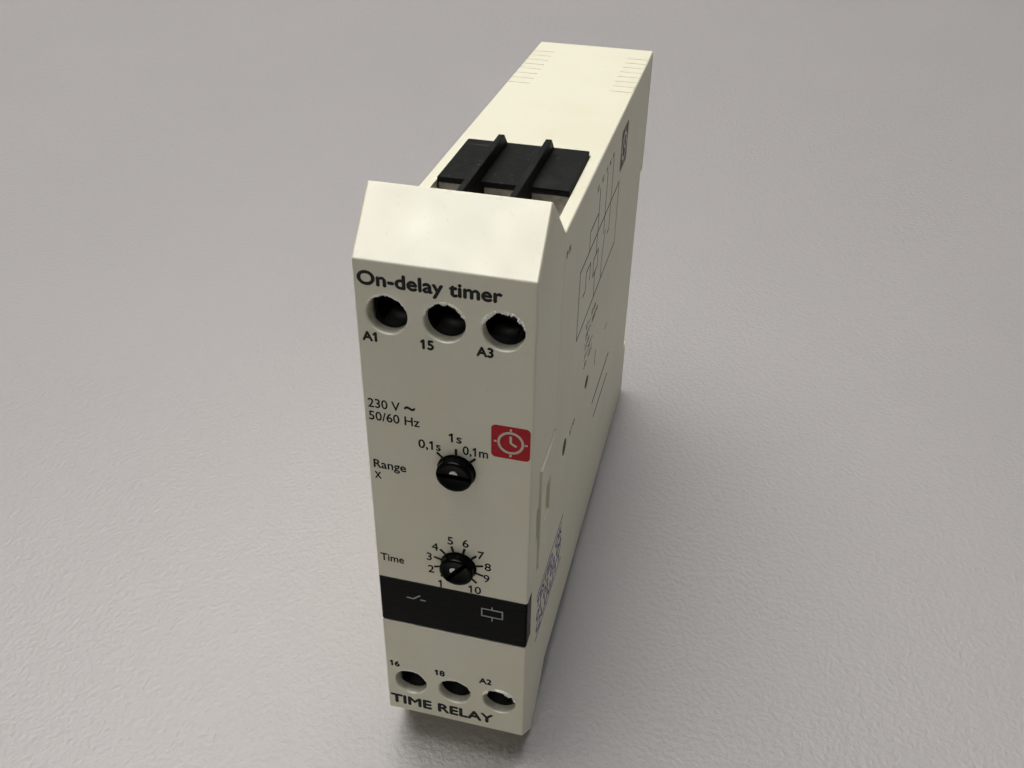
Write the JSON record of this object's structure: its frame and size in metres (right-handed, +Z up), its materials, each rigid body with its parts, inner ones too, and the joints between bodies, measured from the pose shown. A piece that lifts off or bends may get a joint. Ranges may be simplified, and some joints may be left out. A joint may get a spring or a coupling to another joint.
{
  "type": "din rail timer",
  "caption": "Slim DIN-rail time relay with a sloped clip-on front, screw terminals above and below, range and time knobs, a dark indicator window and a sprung rail clip.",
  "frame": {"origin": "centre of the face that seats on the front of the 35 mm DIN rail", "axes": "+Y points out of the back, into the rail; +Z is up when the rail runs level; +X is to the right as seen from the front; the operating face looks along -Y"},
  "size_m": [0.0226, 0.1009, 0.0958],
  "materials": {
    "cream_plastic": "fine matte texture",
    "smoked_window": "smooth, dark and slightly translucent",
    "terminal_black": "satin moulded",
    "knob_black": "polished",
    "clip_black": "satin moulded",
    "zinc_steel": "zinc plated",
    "tinned_copper": "tin plated",
    "board_green": "solder resist over glass laminate",
    "component_black": "moulded epoxy",
    "component_blue": "dipped or moulded epoxy",
    "relay_case": "moulded",
    "red_lens": "tinted clear lens",
    "green_lens": "tinted clear lens",
    "copper_wire": "enamelled wire",
    "ceramic_white": "fired ceramic"
  },
  "bodies": {
    "housing": {"board_connector": "component_black", "bridge_rectifier": "component_black", "contact_tab_15": "tinned_copper", "contact_tab_16": "tinned_copper", "contact_tab_18": "tinned_copper", "contact_tab_a1": "tinned_copper", "contact_tab_a2": "tinned_copper", "contact_tab_a3": "tinned_copper", "din_spring": "zinc_steel", "dropper_capacitor": "component_blue", "dropper_resistor": "ceramic_white", "front_cover": "cream_plastic", "front_pcb": "board_green", "housing_body": "cream_plastic", "led_power": "green_lens", "led_relay": "red_lens", "led_window": "smoked_window", "main_pcb": "board_green", "range_switch_body": "component_black", "relay_base": "component_black", "relay_coil": "copper_wire", "relay_contact_rest": "tinned_copper", "relay_contact_work": "tinned_copper", "relay_core": "zinc_steel", "relay_cover": "relay_case", "relay_transistor": "component_black", "relay_yoke": "zinc_steel", "smoothing_capacitor": "component_blue", "terminal_block_bottom": "terminal_black", "terminal_block_top": "terminal_black", "time_pot_body": "component_blue", "timer_ic": "component_black", "timing_capacitor": "component_blue", "varistor": "component_blue", "zener_diode": "component_black"},
    "din_clip": {"din_clip": "clip_black"},
    "range_knob": {"range_knob": "knob_black", "range_shaft": "zinc_steel"},
    "time_knob": {"time_knob": "knob_black", "time_shaft": "zinc_steel"},
    "relay_armature": {"relay_armature": "zinc_steel", "relay_moving_contact": "tinned_copper"},
    "terminal_screw_a1": {"terminal_screw_a1": "zinc_steel"},
    "clamp_cage_a1": {"clamp_cage_a1": "zinc_steel"},
    "terminal_screw_15": {"terminal_screw_15": "zinc_steel"},
    "clamp_cage_15": {"clamp_cage_15": "zinc_steel"},
    "terminal_screw_a3": {"terminal_screw_a3": "zinc_steel"},
    "clamp_cage_a3": {"clamp_cage_a3": "zinc_steel"},
    "terminal_screw_16": {"terminal_screw_16": "zinc_steel"},
    "clamp_cage_16": {"clamp_cage_16": "zinc_steel"},
    "terminal_screw_18": {"terminal_screw_18": "zinc_steel"},
    "clamp_cage_18": {"clamp_cage_18": "zinc_steel"},
    "terminal_screw_a2": {"terminal_screw_a2": "zinc_steel"},
    "clamp_cage_a2": {"clamp_cage_a2": "zinc_steel"}
  },
  "joints": [
    {"name": "range_turn", "type": "hinge", "parent": "housing", "child": "range_knob", "pos_m": [0.0011, -0.0975, 0.01146], "axis": [0, 1, 0], "range_deg": [-45, 45]},
    {"name": "time_turn", "type": "hinge", "parent": "housing", "child": "time_knob", "pos_m": [0.0011, -0.0975, -0.00589], "axis": [0, 1, 0], "range_deg": [-83, 187]},
    {"name": "clip_slide", "type": "slide", "parent": "housing", "child": "din_clip", "axis": [0, 0, -1], "range_m": [0, 0.004], "stiffness_N_per_m": 1500, "springref_m": -0.002, "deforming": ["din_spring"]},
    {"name": "armature_pull", "type": "hinge", "parent": "housing", "child": "relay_armature", "pos_m": [0.0061, -0.017, -0.0291], "axis": [0, 1, 0], "range_deg": [0, 7], "stiffness_Nm_per_rad": 0.02, "springref_deg": -8.59},
    {"name": "screw_turn_a1", "type": "hinge", "parent": "housing", "child": "terminal_screw_a1", "pos_m": [-0.00675, -0.09, 0.03375], "axis": [0, 1, 0], "range_deg": [0, 2880]},
    {"name": "cage_slide_a1", "type": "slide", "parent": "housing", "child": "clamp_cage_a1", "axis": [0, -1, 0], "range_m": [0, 0.004]},
    {"name": "screw_turn_15", "type": "hinge", "parent": "housing", "child": "terminal_screw_15", "pos_m": [0, -0.09, 0.03375], "axis": [0, 1, 0], "range_deg": [0, 2880]},
    {"name": "cage_slide_15", "type": "slide", "parent": "housing", "child": "clamp_cage_15", "axis": [0, -1, 0], "range_m": [0, 0.004]},
    {"name": "screw_turn_a3", "type": "hinge", "parent": "housing", "child": "terminal_screw_a3", "pos_m": [0.00675, -0.09, 0.03375], "axis": [0, 1, 0], "range_deg": [0, 2880]},
    {"name": "cage_slide_a3", "type": "slide", "parent": "housing", "child": "clamp_cage_a3", "axis": [0, -1, 0], "range_m": [0, 0.004]},
    {"name": "screw_turn_16", "type": "hinge", "parent": "housing", "child": "terminal_screw_16", "pos_m": [-0.00675, -0.09, -0.03375], "axis": [0, 1, 0], "range_deg": [0, 2880]},
    {"name": "cage_slide_16", "type": "slide", "parent": "housing", "child": "clamp_cage_16", "axis": [0, -1, 0], "range_m": [0, 0.004]},
    {"name": "screw_turn_18", "type": "hinge", "parent": "housing", "child": "terminal_screw_18", "pos_m": [0, -0.09, -0.03375], "axis": [0, 1, 0], "range_deg": [0, 2880]},
    {"name": "cage_slide_18", "type": "slide", "parent": "housing", "child": "clamp_cage_18", "axis": [0, -1, 0], "range_m": [0, 0.004]},
    {"name": "screw_turn_a2", "type": "hinge", "parent": "housing", "child": "terminal_screw_a2", "pos_m": [0.00675, -0.09, -0.03375], "axis": [0, 1, 0], "range_deg": [0, 2880]},
    {"name": "cage_slide_a2", "type": "slide", "parent": "housing", "child": "clamp_cage_a2", "axis": [0, -1, 0], "range_m": [0, 0.004]}
  ],
  "couplings": [
    {"joint": "screw_turn_a1", "follows": "cage_slide_a1", "rad_per_m": 12566},
    {"joint": "screw_turn_15", "follows": "cage_slide_15", "rad_per_m": 12566},
    {"joint": "screw_turn_a3", "follows": "cage_slide_a3", "rad_per_m": 12566},
    {"joint": "screw_turn_16", "follows": "cage_slide_16", "rad_per_m": 12566},
    {"joint": "screw_turn_18", "follows": "cage_slide_18", "rad_per_m": 12566},
    {"joint": "screw_turn_a2", "follows": "cage_slide_a2", "rad_per_m": 12566}
  ]
}
